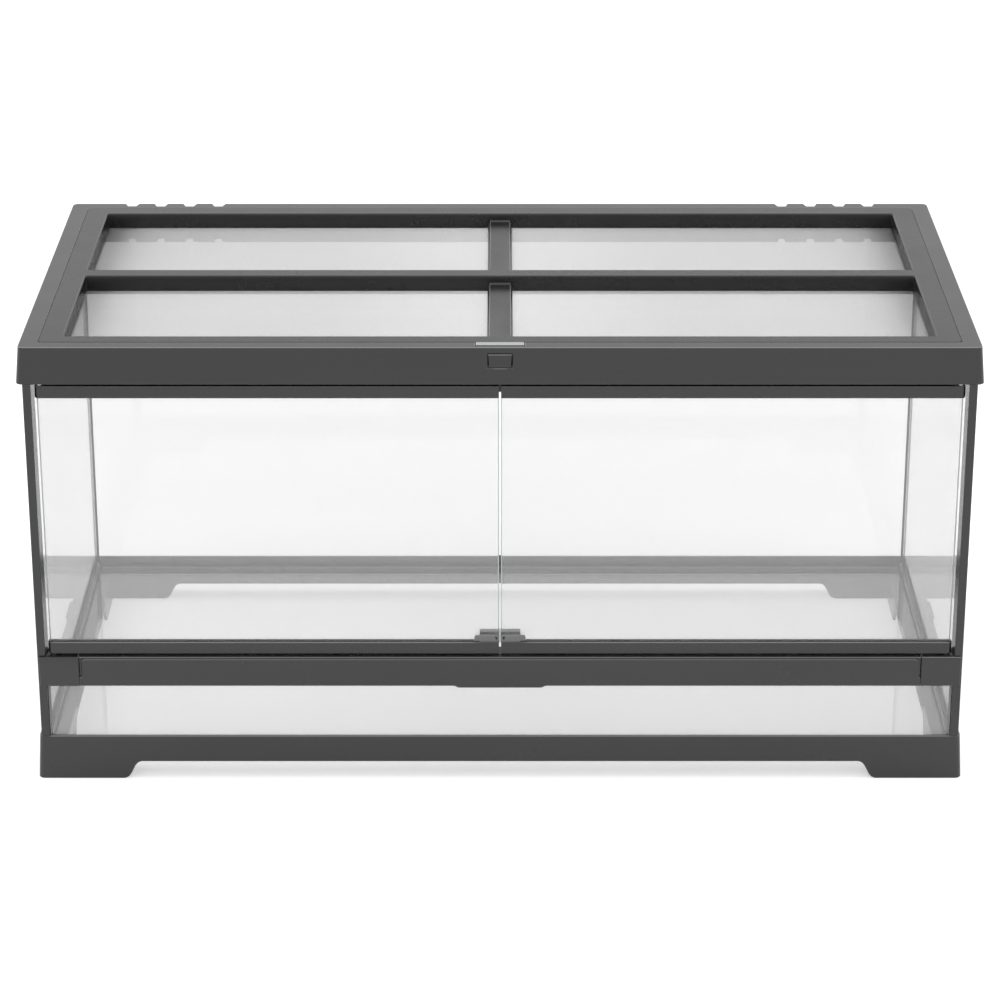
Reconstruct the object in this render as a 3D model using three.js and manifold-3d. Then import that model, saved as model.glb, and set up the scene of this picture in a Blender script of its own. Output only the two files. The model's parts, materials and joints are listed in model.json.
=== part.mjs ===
// Front-opening glass cage for small pets: a glass tank between a moulded base frame and a
// moulded top frame, two swing doors over a ventilation rail, and a hinged mesh lid.
// Millimetres, +Z up, +X to the right of someone facing the doors, +Y towards the back.
// The origin is on the floor, below the middle of the cage.

import * as THREE from 'three';
import { mergeVertices } from 'three/addons/utils/BufferGeometryUtils.js';
import Module from 'manifold-3d';

const wasm = await Module();
wasm.setup();

// ---------------------------------------------------------------- driving dimensions

const GLASS_WIDTH = 900;
const GLASS_DEPTH = 450;
const TOTAL_HEIGHT = 450;
const PANE = 5;
const DOOR_PANE = 4;
const GAP = 0.3;
const HX = GLASS_WIDTH / 2;
const HY = GLASS_DEPTH / 2;

const BASE = {
  top: 45.5,
  flare: 5,
  topWall: 2.5,
  cornerRadius: 6,
  ledgeTop: 29.5,
  ledgeThickness: 3,
  ledgeWidth: 22.5,
  wall: 3,
  archHeight: 18,
  footLength: 85,
  archRun: 17,
  cornerPad: 20,
  tabReach: 2.5,
  tabLength: 42,
  tabOffset: 108,
  rib: 2.5,
  ribsX: [-430, -350, -175, 0, 175, 350, 430],
  ribsY: [-205, -125, 0, 125, 205],
  draftAllowance: 0.8,
};

const TOP = {
  bottom: 413.7,
  flare: 6,
  draft: 3,
  cornerRadius: 6,
  wellX: HX - 14.5,
  wellFront: -213,
  wellBack: 214.5,
  ledgeX: HX - 22,
  ledgeFront: -206,
  ledgeBack: 207,
  ledgeTop: 429.7,
  wellRadius: 4.5,
  glassTop: 440,
  grooveTop: 426,
  grooveWall: 3,
  sideGrooves: [[-195, -66], [-64, 64], [66, 195]],
  frontGrooves: [[40, 160], [162, 285], [287, 410]],
  rearGrooves: [[2, 130], [132, 285]],
};

const LID = {
  gap: 0.5,
  sideBar: 22.5,
  frontBar: 17.3,
  rearBar: 20,
  crossBar: 18.3,
  crossBarY: -4.5,
  windowChamfer: 1.5,
  spineWidth: 24.7,
  spineDrop: 9.5,
  spineChamfer: 2,
  spineFillet: 2.5,
  bottom: 433.9,
  meshTop: 433.6,
  meshBottom: 432.9,
  meshInset: 4,
  clampTop: 432.6,
  clampBottom: 430,
  cornerRadius: 4,
  tabWidth: 24,
  tabReach: 4,
  tabBottom: 438,
  tabTop: 441,
  tabSpacing: 250,
  tabSideClearance: 0.6,
  tabSwingClearance: 1.4,
  tabEndClearance: 0.4,
};

const RAIL = {
  bottom: 101,
  top: 132,
  front: -231,
  back: -206,
  endInner: 410,
  endOuter: 448.5,
  wall: 2.5,
  shutterThickness: 2.2,
  webBottom: 113,
  ribBottom: 104,
  glassTop: 112,
  ventPitch: 33,
  ventWidth: 22,
  ventHeight: 5,
  ventBottom: 121.5,
  ventsPerSide: 12,
};

const SHUTTER = {
  halfWidth: 407.5,
  bottomHalfWidth: 409.7,
  stepHeight: 10,
  cornerRadius: 4,
  tabHalfWidth: 44.5,
  tabChamfer: 4,
  tabDrop: 2,
  studEvery: [-12, -4, 4, 12],
  studBottom: 124,
  studHeight: 3,
  studHalfWidth: 3,
  headHalfWidth: 5,
  headThickness: 1.4,
  studClearance: 0.4,
  travel: 8,
};

const POST = {
  inner: HX - 8,
  front: -HY - 4,
  legBack: -HY + 20,
  thickness: 2.7,
};

const DOOR = {
  pivotX: HX - 15.6,
  pivotY: -HY + 3,
  halfDepth: 5,
  innerEdge: 1,
  glassOuter: HX - 12.5,
  bottom: 133.5,
  bottomProfileTop: 146,
  topProfileBottom: 398.5,
  top: 410.6,
  web: 3.5,
  pinRadius: 2,
  socketRadius: 2.3,
  pinReach: 9,
  collarRadius: 3.6,
};

const STOP = {
  front: -HY + 8.8,
  back: -HY + 11.3,
  halfLength: 429,
  bottom: 401,
  top: 422,
};

const HANDLE = {
  bottom: 146.3,
  lipBottom: 149,
  top: 154,
  back: -HY + 14.5,
  front: -HY - 2.6,
  lipFront: -HY - 4.6,
  innerEdge: 0.35,
  glassGap: 0.1,
  bodyOuter: 19.8,
  lipOuter: 24.8,
  lipRadius: 2,
  keyholeX: 3.6,
  keyholeWidth: 2,
  keyholeMargin: 0.9,
};

const LATCH = {
  tongueHalfWidth: 22.7,
  tongueFront: -222,
  tongueThickness: 2.5,
  tenonHalfWidth: 20,
  tenonBack: -205.3,
  tenonThickness: 1.1,
  recessFront: -224,
  recessDepth: 3.1,
  pocketFront: -226.6,
  pocketBack: -214.2,
  pocketHalfWidth: 15.5,
  pocketBottom: 424.5,
  catchBottom: 428.5,
  catchTop: 429.8,
  catchEdge: -223.8,
  hookFront: -221,
  hookThickness: 1.8,
  hookHalfWidth: 13.5,
  hookBottom: 425.5,
  noseReach: 2.4,
  noseHeight: 2.7,
  noseInner: 9,
  buttonBottom: 430.3,
  buttonTop: 443.1,
  buttonHalfTop: 11.65,
  buttonHalfBottom: 11,
  buttonCorner: 1.5,
  buttonGap: 0.7,
  flange: 1.4,
  padBottom: 433.5,
  padTop: 436,
  padHalfWidth: 7,
  padBack: -221.3,
  recessClearance: 0.6,
  flangeHalfWidth: 13.65,
  flangeBottom: 431,
  flangeTop: 444.8,
  buttonInset: 0.15,
};

const CABLE = {
  firstX: 298.5,
  pitch: 30.5,
  perSide: 4,
  mouth: 13.4,
  floorWidth: 7.6,
  front: 219,
  bottom: 441,
  throatTop: 445.5,
  throatOverlap: 0.4,
};

const BEAD = 5;

// How far a cut runs past the face that it opens, and how far joined solids sink together.
const PAST = 1;
const SINK = 0.5;

// ---------------------------------------------------------------- materials

const paint = (color, roughness, metalness = 0) => ({ color, roughness, metalness });
const CHARCOAL = paint(0x3f4042, 0.45);
const CHARCOAL_SOFT = paint(0x46484a, 0.5);
const GLASS = paint(0xe6eeec, 0.05);
const SEALANT = paint(0x1c1d1e, 0.6);
const CLEAR_SEALANT = paint(0xb9bcbc, 0.5);
const STEEL_WIRE = paint(0xc9ccce, 0.35, 0.9);
const STEEL = paint(0xa8abae, 0.3, 1);

// ---------------------------------------------------------------- geometry helpers

const AXES = {
  x: new THREE.Matrix4().makeBasis(
    new THREE.Vector3(0, 1, 0),
    new THREE.Vector3(0, 0, 1),
    new THREE.Vector3(1, 0, 0),
  ),
  y: new THREE.Matrix4().makeBasis(
    new THREE.Vector3(1, 0, 0),
    new THREE.Vector3(0, 0, 1),
    new THREE.Vector3(0, -1, 0),
  ),
  z: new THREE.Matrix4(),
};

// Extrudes an outline along an axis, from low to high. An outline for x holds (y, z), for
// y it holds (x, z) and for z it holds (x, y).
function extrude(axis, outline, low, high, curveSegments = 6) {
  const options = { depth: high - low, bevelEnabled: false, curveSegments };
  const geometry = new THREE.ExtrudeGeometry(outline, options);
  geometry.applyMatrix4(AXES[axis]);
  const offset = { x: [low, 0, 0], y: [0, high, 0], z: [0, 0, low] }[axis];
  return geometry.translate(...offset);
}

function polygon(points) {
  return new THREE.Shape(points.map(([u, v]) => new THREE.Vector2(u, v)));
}

function roundedRectangle(u0, u1, v0, v1, radius) {
  const shape = new THREE.Shape();
  shape.moveTo(u0 + radius, v0);
  shape.lineTo(u1 - radius, v0);
  shape.absarc(u1 - radius, v0 + radius, radius, -Math.PI / 2, 0, false);
  shape.lineTo(u1, v1 - radius);
  shape.absarc(u1 - radius, v1 - radius, radius, 0, Math.PI / 2, false);
  shape.lineTo(u0 + radius, v1);
  shape.absarc(u0 + radius, v1 - radius, radius, Math.PI / 2, Math.PI, false);
  shape.lineTo(u0, v0 + radius);
  shape.absarc(u0 + radius, v0 + radius, radius, Math.PI, Math.PI * 1.5, false);
  return shape;
}

function block([x0, x1], [y0, y1], [z0, z1]) {
  const geometry = new THREE.BoxGeometry(x1 - x0, y1 - y0, z1 - z0);
  return geometry.translate((x0 + x1) / 2, (y0 + y1) / 2, (z0 + z1) / 2);
}

function rod(x, y, z0, z1, radius, sides = 16) {
  const geometry = new THREE.CylinderGeometry(radius, radius, z1 - z0, sides);
  return geometry.rotateX(Math.PI / 2).translate(x, y, (z0 + z1) / 2);
}

// A prism with rounded vertical corners whose sides lean in by inset towards the top.
function draftedPrism(halfX, halfY, radius, z0, z1, inset) {
  const outline = roundedRectangle(-halfX, halfX, -halfY, halfY, radius);
  const geometry = extrude('z', outline, z0, z1);
  const position = geometry.attributes.position;
  for (let i = 0; i < position.count; i += 1) {
    if (position.getZ(i) > (z0 + z1) / 2) {
      position.setX(i, position.getX(i) * (1 - inset / halfX));
      position.setY(i, position.getY(i) * (1 - inset / halfY));
    }
  }
  return geometry;
}

function solid(geometry) {
  const bare = geometry.clone();
  bare.deleteAttribute('normal');
  bare.deleteAttribute('uv');
  const merged = mergeVertices(bare, 1e-4);
  return new wasm.Manifold(new wasm.Mesh({
    numProp: 3,
    vertProperties: new Float32Array(merged.attributes.position.array),
    triVerts: new Uint32Array(merged.index.array),
  }));
}

function surface(manifold) {
  const mesh = manifold.getMesh();
  const geometry = new THREE.BufferGeometry();
  geometry.setAttribute('position', new THREE.BufferAttribute(mesh.vertProperties, 3));
  geometry.setIndex(new THREE.BufferAttribute(mesh.triVerts, 1));
  geometry.computeVertexNormals();
  return geometry;
}

// Joins the added geometries to the first one, then cuts the others out of it.
function carve(body, cuts = [], adds = []) {
  let result = solid(body);
  for (const geometry of adds) {
    result = result.add(solid(geometry));
  }
  for (const geometry of cuts) {
    result = result.subtract(solid(geometry));
  }
  return surface(result);
}

const cage = new THREE.Group();

function addPart(name, geometry, look) {
  const material = new THREE.MeshStandardMaterial(look);
  const mesh = new THREE.Mesh(geometry, material);
  mesh.name = name;
  cage.add(mesh);
  return mesh;
}

const SIDES = [['left', -1], ['right', 1]];
const span = (a, b) => [Math.min(a, b), Math.max(a, b)];
const across = (side, inner, outer) => span(side * inner, side * outer);
const around = (centre, half) => [centre - half, centre + half];

// The stretches left between ribs of one thickness that stand at the given places.
function gapsBetween(places, rib) {
  return places.slice(1).map((end, i) => [places[i] + rib / 2, end - rib / 2]);
}

// ---------------------------------------------------------------- base frame

// The space under an arch between two feet: flat on top, with an S-curve down to each foot.
function archOutline(halfLength) {
  const foot = halfLength - BASE.footLength;
  const crown = foot - BASE.archRun;
  const middle = (foot + crown) / 2;
  const shape = new THREE.Shape();
  shape.moveTo(-foot, -PAST);
  shape.lineTo(-foot, 0);
  shape.bezierCurveTo(-middle, 0, -middle, BASE.archHeight, -crown, BASE.archHeight);
  shape.lineTo(crown, BASE.archHeight);
  shape.bezierCurveTo(middle, BASE.archHeight, middle, 0, foot, 0);
  shape.lineTo(foot, -PAST);
  return shape;
}

// Pockets that leave the base ring as a hollow channel, open below, with ribs between them.
function baseChannelPockets() {
  const top = BASE.ledgeTop - BASE.ledgeThickness;
  const outerWall = BASE.wall + BASE.draftAllowance;
  const outerX = HX + BASE.flare - outerWall;
  const outerY = HY + BASE.flare - outerWall;
  const innerX = HX - BASE.ledgeWidth + BASE.wall;
  const innerY = HY - BASE.ledgeWidth + BASE.wall;
  const pockets = [];
  for (const side of [-1, 1]) {
    for (const x of gapsBetween(BASE.ribsX, BASE.rib)) {
      pockets.push(block(x, across(side, innerY, outerY), [-PAST, top]));
    }
    for (const y of gapsBetween(BASE.ribsY, BASE.rib)) {
      pockets.push(block(across(side, innerX, outerX), y, [-PAST, top]));
    }
  }
  return pockets;
}

function baseFrame() {
  const halfX = HX + BASE.flare;
  const halfY = HY + BASE.flare;
  const inset = BASE.flare - BASE.topWall;
  const body = draftedPrism(halfX, halfY, BASE.cornerRadius, 0, BASE.top, inset);
  const ledgeX = HX - BASE.ledgeWidth;
  const ledgeY = HY - BASE.ledgeWidth;
  const seat = block(
    [-HX - GAP, HX + GAP],
    [-HY - GAP, HY + GAP],
    [BASE.ledgeTop, BASE.top + PAST],
  );
  const opening = block([-ledgeX, ledgeX], [-ledgeY, ledgeY], [-PAST, BASE.top + PAST]);
  const throughY = extrude('y', archOutline(halfX), -halfY - PAST, halfY + PAST);
  const throughX = extrude('x', archOutline(halfY), -halfX - PAST, halfX + PAST);
  const ring = carve(body, [seat, opening, throughY, throughX, ...baseChannelPockets()]);
  const tabs = [];
  for (const side of [-1, 1]) {
    for (const place of [-1, 1]) {
      const centre = place * BASE.tabOffset;
      tabs.push(block(
        across(side, ledgeX - BASE.tabReach, ledgeX + SINK),
        around(centre, BASE.tabLength / 2),
        [BASE.ledgeTop - BASE.ledgeThickness, BASE.ledgeTop],
      ));
    }
  }
  return carve(ring, [], tabs);
}

addPart('base_frame', baseFrame(), CHARCOAL);

// ---------------------------------------------------------------- glass tank

const PANEL_BOTTOM = BASE.ledgeTop + GAP;
const FLOOR_TOP = PANEL_BOTTOM + PANE;
const SIDE_INNER = HX - PANE;
const BEAD_BOTTOM = FLOOR_TOP + BEAD;

addPart('bottom_glass', block(
  [-SIDE_INNER + GAP, SIDE_INNER - GAP],
  [-HY + PANE + GAP, HY - PANE - GAP],
  [PANEL_BOTTOM, FLOOR_TOP],
), GLASS);

for (const [name, side] of SIDES) {
  addPart(`${name}_side_glass`, block(
    across(side, SIDE_INNER, HX),
    [-HY, HY],
    [PANEL_BOTTOM, TOP.glassTop],
  ), GLASS);
}

addPart('back_glass', block(
  [-SIDE_INNER + GAP, SIDE_INNER - GAP],
  [HY - PANE, HY],
  [PANEL_BOTTOM, TOP.glassTop],
), GLASS);

addPart('lower_front_glass', block(
  [-POST.inner + GAP, POST.inner - GAP],
  [-HY, -HY + PANE],
  [PANEL_BOTTOM, RAIL.glassTop],
), GLASS);

// A corner bead is a three-sided fillet of sealant standing in the corner of two panes.
function cornerBead(side, cornerX, cornerY, towardsY, size, z0, z1) {
  const outline = polygon([
    [side * cornerX, cornerY],
    [side * (cornerX - size), cornerY],
    [side * cornerX, cornerY + towardsY * size],
  ]);
  return extrude('z', outline, z0, z1);
}

for (const [name, side] of SIDES) {
  addPart(`back_${name}_bead`, cornerBead(
    side, SIDE_INNER - GAP, HY - PANE - GAP, -1, BEAD, BEAD_BOTTOM, TOP.bottom - PAST,
  ), CLEAR_SEALANT);
  addPart(`front_${name}_bead`, cornerBead(
    side, POST.inner - GAP, -HY + PANE + GAP, 1, BEAD, BEAD_BOTTOM, RAIL.bottom - PAST,
  ), SEALANT);
}

// The floor bead runs round the floor pane as one mitred ring.
function floorBead() {
  const outerX = POST.inner - GAP;
  const outerFront = -HY + PANE + GAP;
  const outerBack = HY - PANE - GAP;
  const low = FLOOR_TOP + GAP;
  const high = BEAD_BOTTOM - 2 * GAP;
  const outer = block([-outerX, outerX], [outerFront, outerBack], [low, high]);
  const inner = block(
    [-outerX + BEAD, outerX - BEAD],
    [outerFront + BEAD, outerBack - BEAD],
    [low - PAST, high + PAST],
  );
  return carve(outer, [inner]);
}

addPart('floor_bead', floorBead(), CLEAR_SEALANT);

// ---------------------------------------------------------------- edge profiles and rail

function edgeProfile(side) {
  const outline = polygon([
    [side * POST.inner, POST.front],
    [side * HX, POST.front],
    [side * HX, -HY - GAP],
    [side * (POST.inner + POST.thickness), -HY - GAP],
    [side * (POST.inner + POST.thickness), POST.legBack],
    [side * POST.inner, POST.legBack],
  ]);
  return extrude('z', outline, BASE.top + GAP, TOP.bottom - GAP);
}

function railEnd(side) {
  const inner = POST.inner - GAP;
  const lap = POST.front - GAP;
  const outline = polygon([
    [side * RAIL.endInner, RAIL.front],
    [side * RAIL.endOuter, RAIL.front],
    [side * RAIL.endOuter, lap],
    [side * inner, lap],
    [side * inner, RAIL.back],
    [side * RAIL.endInner, RAIL.back],
  ]);
  const body = extrude('z', outline, RAIL.bottom, RAIL.top);
  const socket = rod(
    side * DOOR.pivotX, DOOR.pivotY, RAIL.top - DOOR.pinReach - PAST, RAIL.top + PAST,
    DOOR.socketRadius,
  );
  const glassSlot = block(
    across(side, RAIL.endInner - PAST, inner + PAST),
    [-HY - GAP, -HY + PANE + GAP],
    [RAIL.bottom - PAST, RAIL.glassTop + GAP],
  );
  return carve(body, [socket, glassSlot]);
}

for (const [name, side] of SIDES) {
  addPart(`${name}_edge_profile`, edgeProfile(side), CHARCOAL);
  addPart(`${name}_rail_end`, railEnd(side), CHARCOAL);
}

const RAIL_WALL_FRONT = RAIL.front + RAIL.shutterThickness + GAP;
const RAIL_WALL_BACK = RAIL_WALL_FRONT + RAIL.wall;

// The rail's section: a vented box on top, a front wall down over the lower glass and a rib
// behind that glass. A lip on top reaches over the vent shutter.
function railSection() {
  const rib = -HY + PANE + GAP;
  return polygon([
    [RAIL.front, RAIL.top],
    [RAIL.front, RAIL.top - RAIL.wall + GAP],
    [RAIL_WALL_FRONT, RAIL.top - RAIL.wall + GAP],
    [RAIL_WALL_FRONT, RAIL.bottom + GAP],
    [RAIL_WALL_BACK, RAIL.bottom + GAP],
    [RAIL_WALL_BACK, RAIL.webBottom],
    [rib, RAIL.webBottom],
    [rib, RAIL.ribBottom],
    [rib + RAIL.wall, RAIL.ribBottom],
    [rib + RAIL.wall, RAIL.webBottom],
    [RAIL.back, RAIL.webBottom],
    [RAIL.back, RAIL.top],
  ]);
}

function frontRail() {
  const half = RAIL.endInner - GAP;
  const body = extrude('x', railSection(), -half, half);
  const chamber = block(
    [-half - PAST, half + PAST],
    [RAIL_WALL_BACK, RAIL.back - RAIL.wall],
    [RAIL.webBottom + RAIL.wall, RAIL.top - RAIL.wall],
  );
  const cuts = [chamber];
  for (const side of [-1, 1]) {
    for (let i = 0; i < RAIL.ventsPerSide; i += 1) {
      cuts.push(block(
        around(side * (i + 0.5) * RAIL.ventPitch, RAIL.ventWidth / 2),
        [RAIL.front, RAIL.back + PAST],
        [RAIL.ventBottom, RAIL.ventBottom + RAIL.ventHeight],
      ));
    }
  }
  const slotBottom = SHUTTER.studBottom - SHUTTER.travel - SHUTTER.studClearance;
  const slotTop = SHUTTER.studBottom + SHUTTER.studHeight + SHUTTER.studClearance;
  for (const step of SHUTTER.studEvery) {
    cuts.push(block(
      around(step * RAIL.ventPitch, SHUTTER.studHalfWidth + SHUTTER.studClearance),
      [RAIL.front, RAIL_WALL_BACK + SINK],
      [slotBottom, slotTop],
    ));
  }
  return carve(body, cuts);
}

addPart('front_rail', frontRail(), CHARCOAL);

// ---------------------------------------------------------------- vent shutter

function shutterOutline() {
  const top = RAIL.top - RAIL.wall;
  const step = RAIL.bottom + SHUTTER.stepHeight;
  const r = SHUTTER.cornerRadius;
  const shape = new THREE.Shape();
  shape.moveTo(-SHUTTER.bottomHalfWidth, RAIL.bottom);
  shape.lineTo(-SHUTTER.tabHalfWidth, RAIL.bottom);
  shape.lineTo(-SHUTTER.tabHalfWidth + SHUTTER.tabChamfer, RAIL.bottom - SHUTTER.tabDrop);
  shape.lineTo(SHUTTER.tabHalfWidth - SHUTTER.tabChamfer, RAIL.bottom - SHUTTER.tabDrop);
  shape.lineTo(SHUTTER.tabHalfWidth, RAIL.bottom);
  shape.lineTo(SHUTTER.bottomHalfWidth, RAIL.bottom);
  shape.lineTo(SHUTTER.bottomHalfWidth, step - 1);
  shape.lineTo(SHUTTER.halfWidth, step);
  shape.lineTo(SHUTTER.halfWidth, top - r);
  shape.absarc(SHUTTER.halfWidth - r, top - r, r, 0, Math.PI / 2, false);
  shape.lineTo(-SHUTTER.halfWidth + r, top);
  shape.absarc(-SHUTTER.halfWidth + r, top - r, r, Math.PI / 2, Math.PI, false);
  shape.lineTo(-SHUTTER.halfWidth, step);
  shape.lineTo(-SHUTTER.bottomHalfWidth, step - 1);
  return shape;
}

function ventShutter() {
  const back = RAIL.front + RAIL.shutterThickness;
  const plate = extrude('y', shutterOutline(), RAIL.front, back);
  const studs = [];
  for (const step of SHUTTER.studEvery) {
    const centre = step * RAIL.ventPitch;
    const z = [SHUTTER.studBottom, SHUTTER.studBottom + SHUTTER.studHeight];
    const headFront = RAIL_WALL_BACK + GAP;
    studs.push(block(
      around(centre, SHUTTER.studHalfWidth),
      [back - SINK, headFront + SINK],
      z,
    ));
    studs.push(block(
      around(centre, SHUTTER.headHalfWidth),
      [headFront, headFront + SHUTTER.headThickness],
      z,
    ));
  }
  return carve(plate, [], studs);
}

addPart('vent_shutter', ventShutter(), CHARCOAL);

// ---------------------------------------------------------------- top frame

// Cable notches through the rear rim, each with a throat down the inside of the back glass.
function cableCuts() {
  const cuts = [];
  const edge = HY + TOP.flare - TOP.draft;
  const back = HY + TOP.flare + PAST;
  for (const side of [-1, 1]) {
    for (let i = 0; i < CABLE.perSide; i += 1) {
      const x = side * (CABLE.firstX + i * CABLE.pitch);
      const [floorLeft, floorRight] = around(x, CABLE.floorWidth / 2);
      const [mouthLeft, mouthRight] = around(x, CABLE.mouth / 2);
      const outline = polygon([
        [floorLeft, CABLE.front],
        [floorRight, CABLE.front],
        [mouthRight, edge],
        [mouthRight, back],
        [mouthLeft, back],
        [mouthLeft, edge],
      ]);
      cuts.push(extrude('z', outline, CABLE.bottom, TOTAL_HEIGHT + PAST));
      cuts.push(block(
        [floorLeft, floorRight],
        [TOP.ledgeBack - PAST, CABLE.front + CABLE.throatOverlap],
        [TOP.bottom - PAST, CABLE.throatTop],
      ));
    }
  }
  return cuts;
}

// Grooves from below that leave the top frame as a light channel section.
function topGrooves() {
  const wall = TOP.grooveWall;
  const z = [TOP.bottom - PAST, TOP.grooveTop];
  const sideways = [TOP.ledgeX + wall, SIDE_INNER - wall];
  const front = [-HY, TOP.ledgeFront - wall];
  const rear = [TOP.ledgeBack + wall, HY - PANE - wall];
  const cuts = [];
  for (const side of [-1, 1]) {
    for (const y of TOP.sideGrooves) {
      cuts.push(block(across(side, ...sideways), y, z));
    }
    for (const x of TOP.frontGrooves) {
      cuts.push(block(across(side, ...x), front, z));
    }
    for (const x of TOP.rearGrooves) {
      cuts.push(block(across(side, ...x), rear, z));
    }
  }
  return cuts;
}

// The button's face: a little wider at the top, with its two lower corners rounded.
function buttonOutline(grow) {
  const low = LATCH.buttonBottom - grow;
  const high = LATCH.buttonTop + grow;
  const halfLow = LATCH.buttonHalfBottom + grow;
  const halfHigh = LATCH.buttonHalfTop + grow;
  const r = LATCH.buttonCorner + grow;
  const shape = new THREE.Shape();
  shape.moveTo(-halfLow + r, low);
  shape.lineTo(halfLow - r, low);
  shape.quadraticCurveTo(halfLow, low, halfLow, low + r);
  shape.lineTo(halfHigh, high);
  shape.lineTo(-halfHigh, high);
  shape.lineTo(-halfLow, low + r);
  shape.quadraticCurveTo(-halfLow, low, -halfLow + r, low);
  return shape;
}

// The recess for the lid's tongue, the pocket for the hook and the window for the button.
function latchCuts() {
  const recessX = around(0, LATCH.tongueHalfWidth + LATCH.recessClearance);
  const recessBottom = TOTAL_HEIGHT - LATCH.recessDepth;
  const pocketX = around(0, LATCH.pocketHalfWidth);
  const pocketY = [LATCH.pocketFront, LATCH.pocketBack];
  const windowFront = -HY - TOP.flare - PAST;
  return [
    block(recessX, [LATCH.recessFront, TOP.wellFront + PAST], [recessBottom, TOTAL_HEIGHT + PAST]),
    block(pocketX, pocketY, [LATCH.catchTop, recessBottom + SINK]),
    block(
      pocketX,
      [LATCH.catchEdge, LATCH.pocketBack],
      [LATCH.catchBottom - SINK, LATCH.catchTop + SINK],
    ),
    block(pocketX, pocketY, [LATCH.pocketBottom, LATCH.catchBottom]),
    extrude('y', buttonOutline(LATCH.buttonGap), windowFront, LATCH.pocketFront + SINK),
  ];
}

function topFrame() {
  const body = draftedPrism(
    HX + TOP.flare, HY + TOP.flare, TOP.cornerRadius, TOP.bottom, TOTAL_HEIGHT, TOP.draft,
  );
  const below = TOP.bottom - PAST;
  const above = TOTAL_HEIGHT + PAST;
  const slotTop = TOP.glassTop + GAP;
  const well = roundedRectangle(
    -TOP.wellX, TOP.wellX, TOP.wellFront, TOP.wellBack, TOP.wellRadius,
  );
  const cuts = [
    block([-TOP.ledgeX, TOP.ledgeX], [TOP.ledgeFront, TOP.ledgeBack], [below, above]),
    extrude('z', well, TOP.ledgeTop, above),
    block([-SIDE_INNER, SIDE_INNER], [HY - PANE - GAP, HY + GAP], [below, slotTop]),
    block(
      around(0, STOP.halfLength + GAP), [STOP.front - GAP, STOP.back + GAP], [below, STOP.top + GAP],
    ),
    ...cableCuts(),
    ...topGrooves(),
    ...latchCuts(),
  ];
  for (const side of [-1, 1]) {
    cuts.push(block(
      across(side, SIDE_INNER - GAP, HX + GAP), [-HY - GAP, HY + GAP], [below, slotTop],
    ));
    cuts.push(rod(
      side * DOOR.pivotX, DOOR.pivotY, below, TOP.bottom + DOOR.pinReach + PAST,
      DOOR.socketRadius,
    ));
  }
  for (const place of [-1, 0, 1]) {
    cuts.push(block(
      around(place * LID.tabSpacing, LID.tabWidth / 2 + LID.tabSideClearance),
      [TOP.wellBack - PAST, TOP.wellBack + LID.tabReach + LID.tabEndClearance],
      [LID.tabBottom - LID.tabSwingClearance, LID.tabTop + LID.tabSideClearance],
    ));
  }
  return carve(body, cuts);
}

addPart('top_frame', topFrame(), CHARCOAL);

// The strip that the closed doors rest against, pressed up into the top frame's front ledge.
addPart('door_stop_strip', block(
  around(0, STOP.halfLength), [STOP.front, STOP.back], [STOP.bottom, STOP.top],
), CHARCOAL);

// ---------------------------------------------------------------- lid

const LID_X = TOP.wellX - LID.gap;
const LID_FRONT = TOP.wellFront + LID.gap;
const LID_BACK = TOP.wellBack - LID.gap;
const WINDOW_X = LID_X - LID.sideBar;
const WINDOW_ROWS = [
  [LID_FRONT + LID.frontBar, LID.crossBarY - LID.crossBar / 2],
  [LID.crossBarY + LID.crossBar / 2, LID_BACK - LID.rearBar],
];

// The four windows of the lid, as straight cuts.
function windowCuts(z0, z1) {
  const cuts = [];
  for (const side of [-1, 1]) {
    for (const row of WINDOW_ROWS) {
      cuts.push(block(across(side, LID.spineWidth / 2, WINDOW_X), row, [z0, z1]));
    }
  }
  return cuts;
}

// A block whose sides lean out by 45 degrees towards the top, to chamfer a window's rim.
function flaredBlock([x0, x1], [y0, y1], low, high) {
  const lean = high - low;
  const geometry = block([x0, x1], [y0, y1], [low, high]);
  const position = geometry.attributes.position;
  for (let i = 0; i < position.count; i += 1) {
    if (position.getZ(i) > (low + high) / 2) {
      const outX = position.getX(i) > (x0 + x1) / 2 ? lean : -lean;
      const outY = position.getY(i) > (y0 + y1) / 2 ? lean : -lean;
      position.setXY(i, position.getX(i) + outX, position.getY(i) + outY);
    }
  }
  return geometry;
}

// The strips that chamfer the spine's two long edges.
function spineChamfers(row, spineTop) {
  const edge = LID.spineWidth / 2;
  const size = LID.spineChamfer;
  return [-1, 1].map((side) => extrude('y', polygon([
    [side * (edge - size), spineTop],
    [side * edge, spineTop - size],
    [side * (edge + size), spineTop - size],
    [side * (edge + size), spineTop + size],
    [side * (edge - size), spineTop + size],
  ]), ...row));
}

// A hollow quarter-round where the spine runs into the front of the bar behind it.
function spineFillet(barFront, spineTop) {
  const r = LID.spineFillet;
  const half = LID.spineWidth / 2 - LID.spineChamfer;
  const shape = new THREE.Shape();
  shape.moveTo(barFront + SINK, spineTop - SINK);
  shape.lineTo(barFront + SINK, spineTop + r);
  shape.lineTo(barFront, spineTop + r);
  shape.absarc(barFront - r, spineTop + r, r, 0, -Math.PI / 2, true);
  shape.lineTo(barFront - r, spineTop - SINK);
  return extrude('x', shape, -half, half);
}

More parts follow.
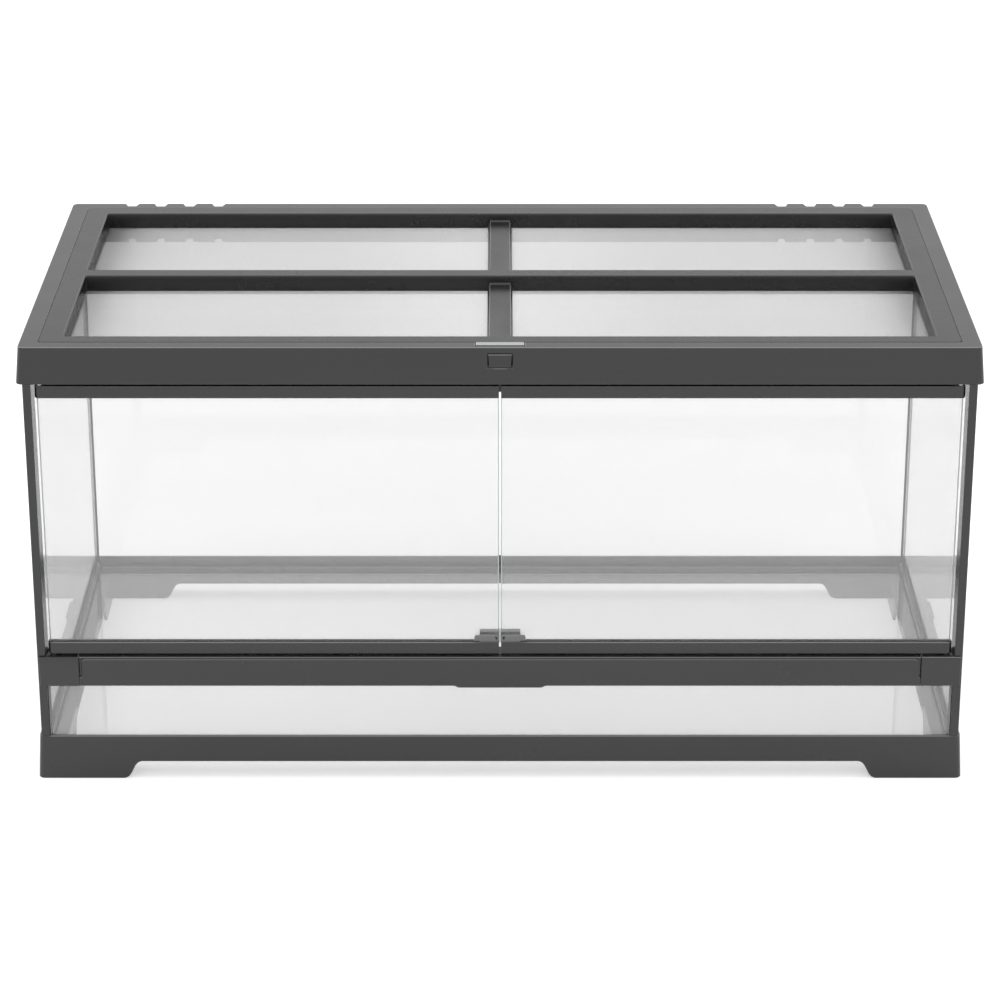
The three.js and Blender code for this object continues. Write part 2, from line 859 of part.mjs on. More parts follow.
function lidFrame() {
  const outline = roundedRectangle(-LID_X, LID_X, LID_FRONT, LID_BACK, LID.cornerRadius);
  const body = extrude('z', outline, LID.bottom, TOTAL_HEIGHT);
  const above = TOTAL_HEIGHT + PAST;
  const spineTop = TOTAL_HEIGHT - LID.spineDrop;
  const chamferBottom = TOTAL_HEIGHT - LID.windowChamfer;
  const cuts = windowCuts(LID.bottom - PAST, above);
  const adds = [];
  for (const row of WINDOW_ROWS) {
    cuts.push(block(around(0, LID.spineWidth), row, [spineTop, above]));
    cuts.push(flaredBlock(around(0, WINDOW_X), row, chamferBottom, above));
    cuts.push(...spineChamfers(row, spineTop));
    adds.push(spineFillet(row[1], spineTop));
  }
  const tenonBottom = TOTAL_HEIGHT - LATCH.tongueThickness;
  cuts.push(block(
    around(0, LATCH.tenonHalfWidth + GAP),
    [LID_FRONT - PAST, LATCH.tenonBack + GAP],
    [tenonBottom - GAP, tenonBottom + LATCH.tenonThickness + GAP],
  ));
  for (const place of [-1, 0, 1]) {
    adds.push(block(
      around(place * LID.tabSpacing, LID.tabWidth / 2),
      [LID_BACK - PAST, LID_BACK + LID.tabReach],
      [LID.tabBottom, LID.tabTop],
    ));
  }
  return carve(carve(body, cuts), [], adds);
}

function meshClamp() {
  const outline = roundedRectangle(-LID_X, LID_X, LID_FRONT, LID_BACK, LID.cornerRadius);
  const body = extrude('z', outline, LID.clampBottom, LID.clampTop);
  return carve(body, windowCuts(LID.clampBottom - PAST, LID.clampTop + PAST));
}

addPart('lid_frame', lidFrame(), CHARCOAL);
addPart('lid_mesh', block(
  [-LID_X + LID.meshInset, LID_X - LID.meshInset],
  [LID_FRONT + LID.meshInset, LID_BACK - LID.meshInset],
  [LID.meshBottom, LID.meshTop],
), STEEL_WIRE);
addPart('mesh_clamp', meshClamp(), CHARCOAL);

// ---------------------------------------------------------------- lid latch

// The tongue lies in the rim's recess and is held by a tenon in the front bar of the lid.
function latchTongue() {
  const bottom = TOTAL_HEIGHT - LATCH.tongueThickness;
  const back = LID_FRONT - GAP;
  const plate = block(
    around(0, LATCH.tongueHalfWidth), [LATCH.tongueFront, back], [bottom, TOTAL_HEIGHT],
  );
  const tenon = block(
    around(0, LATCH.tenonHalfWidth),
    [back - SINK, LATCH.tenonBack],
    [bottom, bottom + LATCH.tenonThickness],
  );
  return carve(plate, [], [tenon]);
}

addPart('lid_latch_tongue', latchTongue(), CHARCOAL_SOFT);

function latchHook() {
  const top = TOTAL_HEIGHT - LATCH.recessDepth;
  const leg = block(
    [-LATCH.hookHalfWidth, LATCH.hookHalfWidth],
    [LATCH.hookFront, LATCH.hookFront + LATCH.hookThickness],
    [LATCH.hookBottom, top],
  );
  const noses = [-1, 1].map((side) => block(
    across(side, LATCH.noseInner, LATCH.hookHalfWidth),
    [LATCH.hookFront - LATCH.noseReach, LATCH.hookFront + SINK],
    [LATCH.hookBottom, LATCH.hookBottom + LATCH.noseHeight],
  ));
  return carve(leg, [], noses);
}

function latchButton() {
  const shell = draftedPrism(
    HX + TOP.flare - LATCH.buttonInset, HY + TOP.flare - LATCH.buttonInset, TOP.cornerRadius,
    TOP.bottom, TOTAL_HEIGHT, TOP.draft,
  );
  const flangeFront = LATCH.pocketFront + GAP;
  const flangeBack = flangeFront + LATCH.flange;
  const face = solid(extrude('y', buttonOutline(0), -HY - TOP.flare, flangeFront + SINK))
    .intersect(solid(shell));
  const flange = block(
    around(0, LATCH.flangeHalfWidth),
    [flangeFront, flangeBack],
    [LATCH.flangeBottom, LATCH.flangeTop],
  );
  const pad = block(
    around(0, LATCH.padHalfWidth),
    [flangeBack - SINK, LATCH.padBack],
    [LATCH.padBottom, LATCH.padTop],
  );
  return surface(face.add(solid(flange)).add(solid(pad)));
}

addPart('lid_latch_hook', latchHook(), CHARCOAL_SOFT);
addPart('latch_button', latchButton(), CHARCOAL);

// ---------------------------------------------------------------- doors

// A door profile in plan: a bar from the inner edge to a round end about the pivot.
function doorBar(side) {
  const back = DOOR.pivotY + DOOR.halfDepth;
  const front = DOOR.pivotY - DOOR.halfDepth;
  const shape = new THREE.Shape();
  shape.moveTo(side * DOOR.innerEdge, front);
  shape.lineTo(side * DOOR.pivotX, front);
  const start = -Math.PI / 2;
  const end = side > 0 ? Math.PI / 2 : -Math.PI * 1.5;
  shape.absarc(side * DOOR.pivotX, DOOR.pivotY, DOOR.halfDepth, start, end, side < 0);
  shape.lineTo(side * DOOR.innerEdge, back);
  return shape;
}

function doorProfile(side, z0, z1, slot, web) {
  const glassSlot = block(
    across(side, 0, DOOR.glassOuter + GAP),
    around(DOOR.pivotY, DOOR_PANE / 2 + GAP),
    slot,
  );
  const pinHole = rod(side * DOOR.pivotX, DOOR.pivotY, web[0], web[1], DOOR.pinRadius + GAP);
  return carve(extrude('z', doorBar(side), z0, z1, 10), [glassSlot, pinHole]);
}

// A steel pin standing in the profile's web, with a collar that the door turns on.
function hingePin(side, z0, z1, collarLow, collarHigh) {
  const x = side * DOOR.pivotX;
  const shaft = rod(x, DOOR.pivotY, z0, z1, DOOR.pinRadius);
  const collar = rod(x, DOOR.pivotY, collarLow, collarHigh, DOOR.collarRadius);
  return carve(shaft, [], [collar]);
}

function doorHandle(side) {
  const body = block(
    across(side, HANDLE.innerEdge, HANDLE.bodyOuter),
    [HANDLE.front, HANDLE.back],
    [HANDLE.bottom, HANDLE.top],
  );
  const [x0, x1] = across(side, HANDLE.innerEdge, HANDLE.lipOuter);
  const lipOutline = roundedRectangle(x0, x1, HANDLE.lipBottom, HANDLE.top, HANDLE.lipRadius);
  const lip = extrude('y', lipOutline, HANDLE.lipFront, HANDLE.front + SINK);
  const glassSlot = block(
    across(side, DOOR.innerEdge - HANDLE.glassGap, HANDLE.lipOuter + PAST),
    around(DOOR.pivotY, DOOR_PANE / 2 + GAP),
    [HANDLE.bottom - PAST, HANDLE.top + PAST],
  );
  const keyhole = block(
    around(side * HANDLE.keyholeX, HANDLE.keyholeWidth / 2),
    [HANDLE.lipFront - PAST, HANDLE.back + PAST],
    [HANDLE.lipBottom + HANDLE.keyholeMargin, HANDLE.top - HANDLE.keyholeMargin],
  );
  return carve(body, [glassSlot, keyhole], [lip]);
}

for (const [name, side] of SIDES) {
  const lowerWeb = [DOOR.bottom - PAST, DOOR.bottom + DOOR.web + SINK];
  const upperWeb = [DOOR.top - DOOR.web - SINK, DOOR.top + PAST];
  const glassBottom = DOOR.bottom + DOOR.web + GAP;
  const glassTop = DOOR.top - DOOR.web - GAP;
  addPart(`${name}_door_glass`, block(
    across(side, DOOR.innerEdge, DOOR.glassOuter),
    around(DOOR.pivotY, DOOR_PANE / 2),
    [glassBottom, glassTop],
  ), GLASS);
  addPart(`${name}_door_bottom_profile`, doorProfile(
    side, DOOR.bottom, DOOR.bottomProfileTop,
    [DOOR.bottom + DOOR.web, DOOR.bottomProfileTop + PAST], lowerWeb,
  ), CHARCOAL);
  addPart(`${name}_door_top_profile`, doorProfile(
    side, DOOR.topProfileBottom, DOOR.top,
    [DOOR.topProfileBottom - PAST, DOOR.top - DOOR.web], upperWeb,
  ), CHARCOAL);
  addPart(`${name}_door_lower_pin`, hingePin(
    side, RAIL.top - DOOR.pinReach, DOOR.bottom + DOOR.web,
    RAIL.top + GAP, DOOR.bottom - GAP,
  ), STEEL);
  addPart(`${name}_door_upper_pin`, hingePin(
    side, DOOR.top - DOOR.web, TOP.bottom + DOOR.pinReach,
    DOOR.top + GAP, TOP.bottom - GAP,
  ), STEEL);
  addPart(`${name}_door_handle`, doorHandle(side), CHARCOAL_SOFT);
}

export default cage;
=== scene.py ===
"""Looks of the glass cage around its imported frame: materials, fine pieces, floor, light, camera."""
import json
import math

import bmesh
import bpy
from mathutils import Euler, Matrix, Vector


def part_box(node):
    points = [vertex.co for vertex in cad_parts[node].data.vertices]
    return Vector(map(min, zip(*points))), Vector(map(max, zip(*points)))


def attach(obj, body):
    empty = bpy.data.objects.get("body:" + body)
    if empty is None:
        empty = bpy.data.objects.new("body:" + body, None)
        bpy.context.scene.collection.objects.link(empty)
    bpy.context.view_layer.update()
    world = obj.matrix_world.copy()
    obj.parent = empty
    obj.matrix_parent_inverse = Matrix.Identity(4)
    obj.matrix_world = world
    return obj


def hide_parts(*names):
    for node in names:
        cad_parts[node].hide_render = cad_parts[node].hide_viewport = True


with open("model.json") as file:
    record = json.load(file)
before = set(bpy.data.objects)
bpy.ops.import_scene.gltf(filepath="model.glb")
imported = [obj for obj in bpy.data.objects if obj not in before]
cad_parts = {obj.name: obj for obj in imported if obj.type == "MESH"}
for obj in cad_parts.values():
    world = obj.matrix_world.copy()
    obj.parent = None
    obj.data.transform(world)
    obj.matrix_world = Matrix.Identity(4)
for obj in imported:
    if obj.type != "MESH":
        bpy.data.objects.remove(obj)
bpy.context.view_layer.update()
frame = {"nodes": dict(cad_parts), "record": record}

NODES = frame["nodes"]
MM = 0.001
SIDES = (("left", -1), ("right", 1))

# ---------------------------------------------------------------- camera

# Metres, and the focal length in frame widths.
CAMERA_DISTANCE = 3.462
CAMERA_ELEVATION = math.radians(22.14)
CAMERA_AIM_Z = 0.2029
FOCAL_WIDTHS = 3.370
SENSOR = 36
CAMERA_REACH = 100


def make_camera():
    data = bpy.data.cameras.new("camera")
    data.sensor_width = SENSOR
    data.lens = SENSOR * FOCAL_WIDTHS
    data.clip_end = CAMERA_REACH
    camera = bpy.data.objects.new("camera", data)
    back = Vector((0, -math.cos(CAMERA_ELEVATION), math.sin(CAMERA_ELEVATION)))
    camera.location = Vector((0, 0, CAMERA_AIM_Z)) + back * CAMERA_DISTANCE
    camera.rotation_euler = Euler((math.pi / 2 - CAMERA_ELEVATION, 0, 0))
    bpy.context.collection.objects.link(camera)
    bpy.context.scene.camera = camera


# ---------------------------------------------------------------- light and floor

# Watts of each softbox, and half the side of the studio floor in metres.
TOP_POWER = 42
FRONT_POWER = 14
SIDE_POWER = 10
FLOOR_REACH = 30


def area_light(name, place, aim, size, power):
    data = bpy.data.lights.new(name, "AREA")
    data.shape = "RECTANGLE"
    data.size, data.size_y = size
    data.energy = power
    light = bpy.data.objects.new(name, data)
    light.location = place
    light.rotation_euler = (Vector(aim) - Vector(place)).to_track_quat("-Z", "Y").to_euler()
    light.visible_camera = False
    light.visible_transmission = False
    bpy.context.collection.objects.link(light)


def make_studio():
    scene = bpy.context.scene
    scene.view_settings.view_transform = "Standard"
    world = bpy.data.worlds.new("studio")
    world.use_nodes = True
    background = world.node_tree.nodes["Background"]
    background.inputs["Color"].default_value = (1.0, 1.0, 1.0, 1)
    background.inputs["Strength"].default_value = 1.0
    scene.world = world
    area_light("top_softbox", (0, 0.1, 3.2), (0, 0, 0), (3.0, 2.2), TOP_POWER)
    area_light("front_softbox", (0, -2.4, 2.4), (0, 0.1, 0), (2.4, 1.2), FRONT_POWER)
    for name, side in SIDES:
        place, aim = (side * 1.9, -0.1, 1.3), (side * 1.2, -0.1, 0)
        area_light(f"{name}_softbox", place, aim, (1.6, 1.2), SIDE_POWER)
    floor = floor_plate()
    floor.data.materials.append(floor_material())


def floor_plate():
    bm = bmesh.new()
    corners = ((-1, -1), (1, -1), (1, 1), (-1, 1))
    bm.faces.new([bm.verts.new((x * FLOOR_REACH, y * FLOOR_REACH, 0)) for x, y in corners])
    return finished(bm, "floor")


# ---------------------------------------------------------------- mesh helpers

WELD_REACH = 0.02 * MM
FLAT_ANGLE = math.radians(0.5)
CHAMFERED_ANGLE = math.radians(28)
SMOOTH_ANGLE = math.radians(24)
LOFT_SMOOTH_ANGLE = math.radians(35)


def finished(bm, name):
    mesh = bpy.data.meshes.new(name)
    bm.normal_update()
    bm.to_mesh(mesh)
    bm.free()
    piece = bpy.data.objects.new(name, mesh)
    bpy.context.collection.objects.link(piece)
    return piece


def split_at(piece, angle):
    """Parts the shading of faces that meet at more than the angle."""
    split = piece.modifiers.new("split", "EDGE_SPLIT")
    split.split_angle = angle
    split.use_edge_sharp = False


def soften(piece, width, smooth=True, join=False):
    """Welds the frame's split corners and chamfers its sharp edges. Chamfers take the second
    material. With smooth, gently curved stretches are shaded smooth and flat faces stay flat.
    With join, the triangles of each flat face are joined first, for pieces where short edges lie
    beside long ones."""
    weld = piece.modifiers.new("weld", "WELD")
    weld.merge_threshold = WELD_REACH
    if join:
        flat = piece.modifiers.new("join", "DECIMATE")
        flat.decimate_type = "DISSOLVE"
        flat.angle_limit = FLAT_ANGLE
    bevel = piece.modifiers.new("bevel", "BEVEL")
    bevel.offset_type = "ABSOLUTE" if join else "OFFSET"
    bevel.width = width
    bevel.segments = 1
    bevel.limit_method = "ANGLE"
    bevel.angle_limit = CHAMFERED_ANGLE
    bevel.use_clamp_overlap = False
    bevel.loop_slide = not join
    bevel.material = 1
    if smooth:
        for face in piece.data.polygons:
            face.use_smooth = True
        split_at(piece, SMOOTH_ANGLE)


# ---------------------------------------------------------------- material helpers

# Metres from the middle of the cage to each end of the step between its front and rear half.
MIDDLE_REACH = 0.1


class Shader:
    """A material's node tree, with short calls for the nodes that the looks below need."""

    def __init__(self, name):
        self.material = bpy.data.materials.new(name)
        self.material.use_nodes = True
        self.tree = self.material.node_tree
        self.main = self.tree.nodes["Principled BSDF"]
        self.output = self.tree.nodes["Material Output"]
        self.coords = self.tree.nodes.new("ShaderNodeTexCoord")

    def link(self, source, target):
        self.tree.links.new(source, target)

    def noise(self, scale, detail=3, roughness=0.5, stretch=(1, 1, 1)):
        mapping = self.tree.nodes.new("ShaderNodeMapping")
        mapping.inputs["Scale"].default_value = stretch
        self.link(self.coords.outputs["Object"], mapping.inputs["Vector"])
        node = self.tree.nodes.new("ShaderNodeTexNoise")
        node.inputs["Scale"].default_value = scale
        node.inputs["Detail"].default_value = detail
        node.inputs["Roughness"].default_value = roughness
        self.link(mapping.outputs["Vector"], node.inputs["Vector"])
        return node.outputs["Fac"]

    def span(self, source, low, high, start=0.0, end=1.0):
        node = self.tree.nodes.new("ShaderNodeMapRange")
        node.inputs["From Min"].default_value = start
        node.inputs["From Max"].default_value = end
        node.inputs["To Min"].default_value = low
        node.inputs["To Max"].default_value = high
        self.link(source, node.inputs["Value"])
        return node.outputs["Result"]

    def math(self, operation, first, second=0.0):
        node = self.tree.nodes.new("ShaderNodeMath")
        node.operation = operation
        for socket, value in zip(node.inputs, (first, second)):
            if isinstance(value, (int, float)):
                socket.default_value = value
            else:
                self.link(value, socket)
        return node.outputs["Value"]

    def blend(self, factor, first, second):
        node = self.tree.nodes.new("ShaderNodeMix")
        node.data_type = "RGBA"
        self.link(factor, node.inputs[0])
        for socket, colour in ((node.inputs[6], first), (node.inputs[7], second)):
            if isinstance(colour, tuple):
                socket.default_value = (*colour, 1)
            else:
                self.link(colour, socket)
        return node.outputs[2]

    def bump(self, heights, distance, strength):
        node = self.tree.nodes.new("ShaderNodeBump")
        node.inputs["Strength"].default_value = strength
        node.inputs["Distance"].default_value = distance
        self.link(heights, node.inputs["Height"])
        self.link(node.outputs["Normal"], self.main.inputs["Normal"])

    def let_light_through(self, share):
        """Lets a share of lamp light through, so that clear pieces cast no dark shadow."""
        through = self.tree.nodes.new("ShaderNodeBsdfTransparent")
        through.inputs["Color"].default_value = (share, share, share, 1)
        path = self.tree.nodes.new("ShaderNodeLightPath")
        mix = self.tree.nodes.new("ShaderNodeMixShader")
        self.link(path.outputs["Is Shadow Ray"], mix.inputs["Fac"])
        self.link(self.main.outputs["BSDF"], mix.inputs[1])
        self.link(through.outputs["BSDF"], mix.inputs[2])
        self.link(mix.outputs["Shader"], self.output.inputs["Surface"])

    def component(self, coordinates, axis):
        """One axis of the object's own Normal or Object coordinates."""
        separate = self.tree.nodes.new("ShaderNodeSeparateXYZ")
        self.link(self.coords.outputs[coordinates], separate.inputs["Vector"])
        return separate.outputs[axis]

    def facing(self, axis):
        """1 where the surface faces either way along the axis, 0 where it lies along it."""
        return self.math("ABSOLUTE", self.component("Normal", axis))

    def upward(self, start, end):
        """0 where the normal's upward part is under the start, rising to 1 at the end."""
        return self.span(self.component("Normal", "Z"), 0, 1, start, end)

    def rearward(self):
        """0 in the front half of the cage and 1 in the rear half, with a soft step between."""
        return self.span(self.component("Object", "Y"), 0, 1, -MIDDLE_REACH, MIDDLE_REACH)


def grey(value, warm=0.0):
    return (value * (1 + warm), value, value * (1 - warm))


# ---------------------------------------------------------------- materials

PLASTIC_IOR = 1.46
GRAIN_DEPTH = 0.02 * MM
MOST_DUST = 0.02
DUST_TONE = 0.45
# How much lamp light passes the panes and their ground arrises.
PANE_LIGHT = 0.965
ARRIS_LIGHT = 0.8


def floor_material():
    s = Shader("studio_floor")
    s.link(s.blend(s.noise(1.3), grey(0.59), grey(0.61)), s.main.inputs["Base Color"])
    s.link(s.span(s.noise(9), 0.75, 0.9), s.main.inputs["Roughness"])
    s.main.inputs["Specular IOR Level"].default_value = 0.15
    s.main.inputs["Emission Color"].default_value = (1, 1, 1, 1)
    s.main.inputs["Emission Strength"].default_value = 0.5
    return s.material


def plastic(name, tone, rough, ior=PLASTIC_IOR, painted_top_highlight=0.0):
    """Moulded plastic: fine spark-eroded grain, faint flow shades and a little dust on top.
    With a tone given for the top, all that faces up is lightened to it: a painted highlight, as light
    from above catches top edges."""
    s = Shader(name)
    flow = s.noise(7, detail=4, roughness=0.55, stretch=(0.4, 1, 1.6))
    flow = s.span(flow, 0, 1, start=0.3, end=0.7)
    base = s.blend(flow, grey(tone * 0.88, -0.02), grey(tone * 1.12, -0.02))
    speckle = s.span(s.noise(2600, detail=2), 0, 0.25, start=0.5, end=0.75)
    base = s.blend(speckle, base, grey(tone * 1.9))
    # Painted highlight: faces that point up are lightened towards the given tone.
    if painted_top_highlight:
        base = s.blend(s.upward(start=0.3, end=0.65), base, grey(painted_top_highlight))
    upward = s.upward(start=0.6, end=1.0)
    dusty = s.span(s.noise(24, detail=6, roughness=0.65), 0, MOST_DUST, start=0.4, end=0.8)
    base = s.blend(s.math("MULTIPLY", upward, dusty), base, grey(DUST_TONE, 0.03))
    s.link(base, s.main.inputs["Base Color"])
    smears = s.noise(17, detail=5, roughness=0.6)
    smears = s.span(smears, rough - 0.02, rough + 0.02, start=0.3, end=0.7)
    matt = s.math("MULTIPLY", s.noise(1400), 0.04)
    s.link(s.math("ADD", smears, matt), s.main.inputs["Roughness"])
    coarse = s.math("MULTIPLY", s.noise(420, detail=2), 0.6)
    relief = s.math("ADD", s.noise(1700, roughness=0.6), coarse)
    s.bump(relief, GRAIN_DEPTH, strength=0.5)
    s.main.inputs["IOR"].default_value = ior
    return s.material


def clear_glass(name, thin_axis, clearness, front_edge, rear_edge, clarity):
    """Float glass: clear through its faces, grey green in its cut edges, with faint wipe marks. Its
    cut edges are painted darker at the front of the cage and paler at its rear, standing in for the
    black and the clear sealant seen through them.
    """
    s = Shader(name)
    edge = s.span(s.facing(thin_axis), 1, 0, start=0.3, end=0.9)
    # Painted see-through: the edge colour runs from front to rear with the sealant behind it.
    edge_colour = s.blend(s.rearward(), front_edge, rear_edge)
    s.link(s.blend(edge, grey(clearness), edge_colour), s.main.inputs["Base Color"])
    wipes = s.noise(5, detail=5, roughness=0.6, stretch=(0.5, 1, 2.2))
    wipes = s.span(wipes, 0.0, 0.02, start=0.45, end=0.8)
    s.link(s.math("ADD", wipes, s.math("MULTIPLY", edge, 0.12)), s.main.inputs["Roughness"])
    s.main.inputs["Transmission Weight"].default_value = clarity
    s.let_light_through(PANE_LIGHT)
    return s.material


def ground_glass():
    """The frosted, ground arrises of the panes."""
    s = Shader("ground_glass_arris")
    frost = s.blend(s.noise(300, detail=4), (0.38, 0.42, 0.41), (0.5, 0.54, 0.53))
    s.link(frost, s.main.inputs["Base Color"])
    s.link(s.span(s.noise(900), 0.35, 0.6), s.main.inputs["Roughness"])
    s.main.inputs["Transmission Weight"].default_value = 0.55
    s.let_light_through(ARRIS_LIGHT)
    return s.material


def sealant(name, tone, clear):
    s = Shader(name)
    base = s.blend(s.noise(90, detail=4), grey(tone * 0.85), grey(tone * 1.15))
    s.link(base, s.main.inputs["Base Color"])
    s.link(s.span(s.noise(60), 0.28, 0.46), s.main.inputs["Roughness"])
    s.bump(s.noise(150, detail=4), 0.3 * MM, strength=0.4)
    s.main.inputs["Transmission Weight"].default_value = clear
    return s.material


def steel(name, tone, rough):
    s = Shader(name)
    base = s.blend(s.noise(240, detail=4), grey(tone * 0.86), grey(tone))
    s.link(base, s.main.inputs["Base Color"])
    s.link(s.span(s.noise(500, detail=4), rough - 0.06, rough + 0.1), s.main.inputs["Roughness"])
    s.bump(s.noise(1800, detail=2), 0.02 * MM, strength=0.4)
    s.main.inputs["Metallic"].default_value = 1.0
    return s.material


SEALANTS = {
    "black_sealant": sealant("black_sealant", tone=0.012, clear=0.0),
    "clear_sealant": sealant("clear_sealant", tone=0.05, clear=0.1),
}

# Chamfer widths: what most mouldings have, and the pieces that differ. The rail's is narrow
# because the shutter's guide studs slide in it.
CHAMFER = 0.6 * MM
CHAMFERS = {
    "base_frame": 0.9 * MM,
    "front_rail": 0.4 * MM,
    "latch_button": 0.8 * MM,
    "left_door_top_profile": 0.7 * MM,
    "left_door_bottom_profile": 0.7 * MM,
    "right_door_top_profile": 0.7 * MM,
    "right_door_bottom_profile": 0.7 * MM,
}
PIN_CHAMFER = 0.3 * MM
# Arris widths by the axis that the pane is thin along.
GLASS_ARRISES = {"X": 0.3 * MM, "Y": 0.8 * MM, "Z": 0.3 * MM}
# Pieces with short edges beside long ones.
JOINED = ("lid_frame", "latch_button", "left_door_handle", "right_door_handle")


def make_looks():
    """The materials of each kind of piece: the surface, then the chamfers where there are any."""
    return {
        # Each chamfer copy is a lit copy of its surface: its upward chamfers carry a painted
        # highlight.
        "charcoal_plastic": (
            plastic("charcoal_plastic", tone=0.012, rough=0.24, ior=1.52),
            plastic("charcoal_edge", tone=0.014, rough=0.2, ior=1.52, painted_top_highlight=0.13),
        ),
        "lid_plastic": (
            plastic("lid_plastic", tone=0.007, rough=0.26, ior=1.455),
            plastic("lid_edge", tone=0.008, rough=0.22, ior=1.455, painted_top_highlight=0.1),
        ),
        # The satin trim's chamfers are darker than its faces: painted shade along the pieces'
        # outlines, lightened where they face up.
        "satin_trim": (
            plastic("satin_trim", tone=0.1, rough=0.28),
            plastic("satin_trim_edge", tone=0.06, rough=0.22, painted_top_highlight=0.3),
        ),
        # The tongue's chamfers are near black, a painted shadow under its front edge, and lightened
        # where they face up.
        "tongue_trim": (
            plastic("tongue_trim", tone=0.26, rough=0.26),
            plastic("tongue_trim_edge", tone=0.02, rough=0.22, painted_top_highlight=0.3),
        ),
        "black_sealant": (SEALANTS["black_sealant"],),
        "clear_sealant": (SEALANTS["clear_sealant"],),
        "steel_pin": (
            steel("steel_pin", tone=0.55, rough=0.3),
            steel("steel_pin_edge", tone=0.7, rough=0.2),
        ),
        "steel_mesh": (steel("mesh_plate", tone=0.66, rough=0.4),),
    }


# Colours of the panes' cut edges, at the front of the cage and, paler, at its rear: grey green glass
# with painted see-through, dark where black sealant lies behind the front edges and pale over the
# clear sealant at the rear.
SIDE_EDGE_PAINTED_DARK = (0.1, 0.12, 0.115)
DOOR_EDGE = (0.36, 0.41, 0.4)
FLOOR_EDGE = (0.5, 0.57, 0.55)
PAINTED_PALE_EDGE = (0.9, 0.94, 0.93)


def make_panes():
    """The materials of the panes that are thin along each axis: the glass, then its arrises."""
    arris = ground_glass()
    side = clear_glass("clear_glass_side", "X", 0.78, SIDE_EDGE_PAINTED_DARK, PAINTED_PALE_EDGE, clarity=0.965)
    front = clear_glass("clear_glass_front", "Y", 0.87, DOOR_EDGE, PAINTED_PALE_EDGE, clarity=0.92)
    floor = clear_glass("clear_glass_floor", "Z", 0.94, FLOOR_EDGE, FLOOR_EDGE, clarity=0.965)
    return {"X": (side, arris), "Y": (front, arris), "Z": (floor, arris)}


# Pieces that look otherwise than their material slot's others.
OWN_LOOKS = {
    "lid_frame": "lid_plastic",
    "mesh_clamp": "lid_plastic",
    "lid_latch_tongue": "tongue_trim",
}


def clothe_nodes():
    looks = make_looks()
    panes = make_panes()
    slots = {p["node"]: p["material_slot"] for p in frame["record"]["subparts"]}
    for name, node in NODES.items():
        slot = slots[name]
        if slot == "clear_glass":
            axis = "Z" if name == "bottom_glass" else "X" if "side" in name else "Y"
            look = panes[axis]
            soften(node, GLASS_ARRISES[axis], smooth=False)
        else:
            look = looks[OWN_LOOKS.get(name, slot)]
            if slot in ("charcoal_plastic", "satin_trim"):
                soften(node, CHAMFERS.get(name, CHAMFER), join=name in JOINED)
            elif slot == "steel_pin":
                soften(node, PIN_CHAMFER)
        node.data.materials.clear()
        for material in look:
            node.data.materials.append(material)


# ---------------------------------------------------------------- sealant and seals

# A fillet's leg as a share of the CAD bead's, and its thin ends' thickness as a share of the leg.
BEAD_SHARE = 0.42
BEAD_SKIN = 0.06
BEAD_STEPS = 6


def bead_profile(leg):
    """A hollow fillet against two walls, as distances from each wall, starting in the corner."""
    reach = leg - BEAD_SKIN * leg
    points = [(0, 0), (leg, 0)]
    for i in range(BEAD_STEPS + 1):
        turn = math.pi / 2 * i / BEAD_STEPS
        points.append((leg - reach * math.sin(turn), leg - reach * math.cos(turn)))
    points.append((0, leg))
    return points


def loft(rings, closed, name, material, body="cage"):
    """Joins rings of points into one skin, closed on itself or with a cap at each end."""
    bm = bmesh.new()
    made = [[bm.verts.new(p) for p in ring] for ring in rings]
    count = len(made[0])
    pairs = list(zip(made, made[1:] + made[:1]))
    for first, second in pairs if closed else pairs[:-1]:
        for i in range(count):
            j = (i + 1) % count
            bm.faces.new((first[i], first[j], second[j], second[i])).smooth = True
    if not closed:
        bm.faces.new(made[0])
        bm.faces.new(made[-1])
    bmesh.ops.recalc_face_normals(bm, faces=bm.faces)
    piece = finished(bm, name)
    piece.data.materials.append(material)
    split_at(piece, LOFT_SMOOTH_ANGLE)
    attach(piece, body)
    return piece


def corner_beads():
    """The four upright fillets of sealant, hollow as a fingertip leaves them."""
    for end, slot, inward in (("back", "clear_sealant", -1), ("front", "black_sealant", 1)):
        for name, side in SIDES:
            node = f"{end}_{name}_bead"
            low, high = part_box(node)
            corner = (low if side < 0 else high)[0], (low if inward > 0 else high)[1]
            profile = bead_profile((high[0] - low[0]) * BEAD_SHARE)
            outline = [(corner[0] - side * u, corner[1] + inward * v) for u, v in profile]
            rings = [[(x, y, z) for x, y in outline] for z in (low[2], high[2])]
            piece = loft(rings, False, f"{node}_fillet", SEALANTS[slot])
            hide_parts(node)


def floor_bead():
    """The fillet of sealant round the floor pane, mitred at its four corners."""
    low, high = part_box("floor_bead")
    outline = bead_profile((high[2] - low[2]) * BEAD_SHARE)
    rings = []
    for x, y, sx, sy in ((low[0], low[1], 1, 1), (high[0], low[1], -1, 1),
                         (high[0], high[1], -1, -1), (low[0], high[1], 1, -1)):
        rings.append([(x + sx * u, y + sy * u, low[2] + v) for u, v in outline])
    piece = loft(rings, True, "floor_bead_fillet", SEALANTS["clear_sealant"])
    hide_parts("floor_bead")


SEAL_HEIGHT = 0.35 * MM
SEAL_STEPS = 8


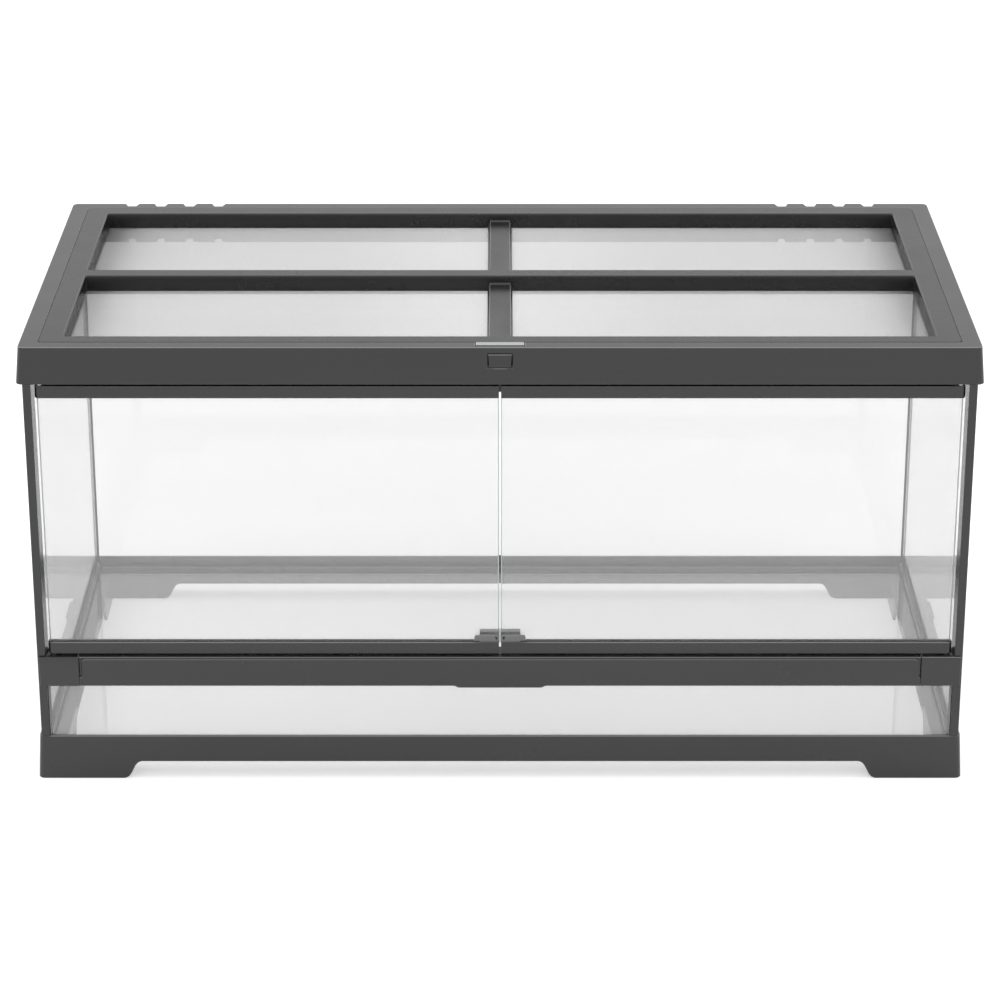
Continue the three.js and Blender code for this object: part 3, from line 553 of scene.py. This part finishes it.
def door_seals_with_slot_shade():
    """Black glazing strips along each door's bottom profile, in front of the glass and behind it;
    their black is also painted shade, standing in for the shade along the glazing slot.
    """
    for name, side in SIDES:
        low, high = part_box(f"{name}_door_bottom_profile")
        glass_low, glass_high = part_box(f"{name}_door_glass")
        handle_low, handle_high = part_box(f"{name}_door_handle")
        handle_end = (handle_low if side < 0 else handle_high)[0]
        glass_end = (glass_low if side < 0 else glass_high)[0]
        chamfer = CHAMFERS[f"{name}_door_bottom_profile"]
        rows = (
            ("front", low[1] + chamfer, glass_low[1]),
            ("rear", glass_high[1], high[1] - chamfer),
        )
        for row, start, end in rows:
            outline = [(start, high[2]), (end, high[2])]
            for i in range(1, SEAL_STEPS):
                turn = math.pi * i / SEAL_STEPS
                outline.append((
                    (start + end) / 2 + (end - start) / 2 * math.cos(turn),
                    high[2] + SEAL_HEIGHT * math.sin(turn),
                ))
            rings = [[(x, y, z) for y, z in outline] for x in (handle_end + side * MM, glass_end)]
            loft(rings, False, f"{name}_door_seal_{row}",
                 SEALANTS["black_sealant"], f"{name}_door")


# ---------------------------------------------------------------- lid mesh

WIRE = 0.36 * MM
PITCH = 1.45 * MM
WIRE_SIDES = 6


def add_wire(bm, axis, other, start, end, centre, z):
    """Adds a straight round wire along an axis, as a closed prism."""
    rings = []
    for along in (start, end):
        ring = []
        for i in range(WIRE_SIDES):
            turn = 2 * math.pi * (i + 0.5) / WIRE_SIDES
            place = [0, 0, z + WIRE / 2 * math.sin(turn)]
            place[axis] = along
            place[other] = centre + WIRE / 2 * math.cos(turn)
            ring.append(bm.verts.new(place))
        rings.append(ring)
    first, last = rings if axis else rings[::-1]
    for i in range(WIRE_SIDES):
        j = (i + 1) % WIRE_SIDES
        bm.faces.new((first[i], first[j], last[j], last[i])).smooth = True
    bm.faces.new(last)
    bm.faces.new(first[::-1])


def lid_wires():
    """The lid's wire cloth: straight warp wires under weft wires, one prism each."""
    low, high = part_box("lid_mesh")
    bm = bmesh.new()
    middle = (low[2] + high[2]) / 2
    for axis, other, z in ((0, 1, middle + WIRE / 2), (1, 0, middle - WIRE / 2)):
        count = int((high[other] - low[other]) / PITCH)
        start = (low[other] + high[other] - (count - 1) * PITCH) / 2
        for i in range(count):
            add_wire(bm, axis, other, low[axis], high[axis], start + i * PITCH, z)
    piece = finished(bm, "lid_wire_cloth")
    piece.data.materials.append(steel("mesh_wire", tone=0.72, rough=0.5))
    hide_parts("lid_mesh")
    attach(piece, "lid")


make_camera()
clothe_nodes()
corner_beads()
floor_bead()
door_seals_with_slot_shade()
lid_wires()
make_studio()
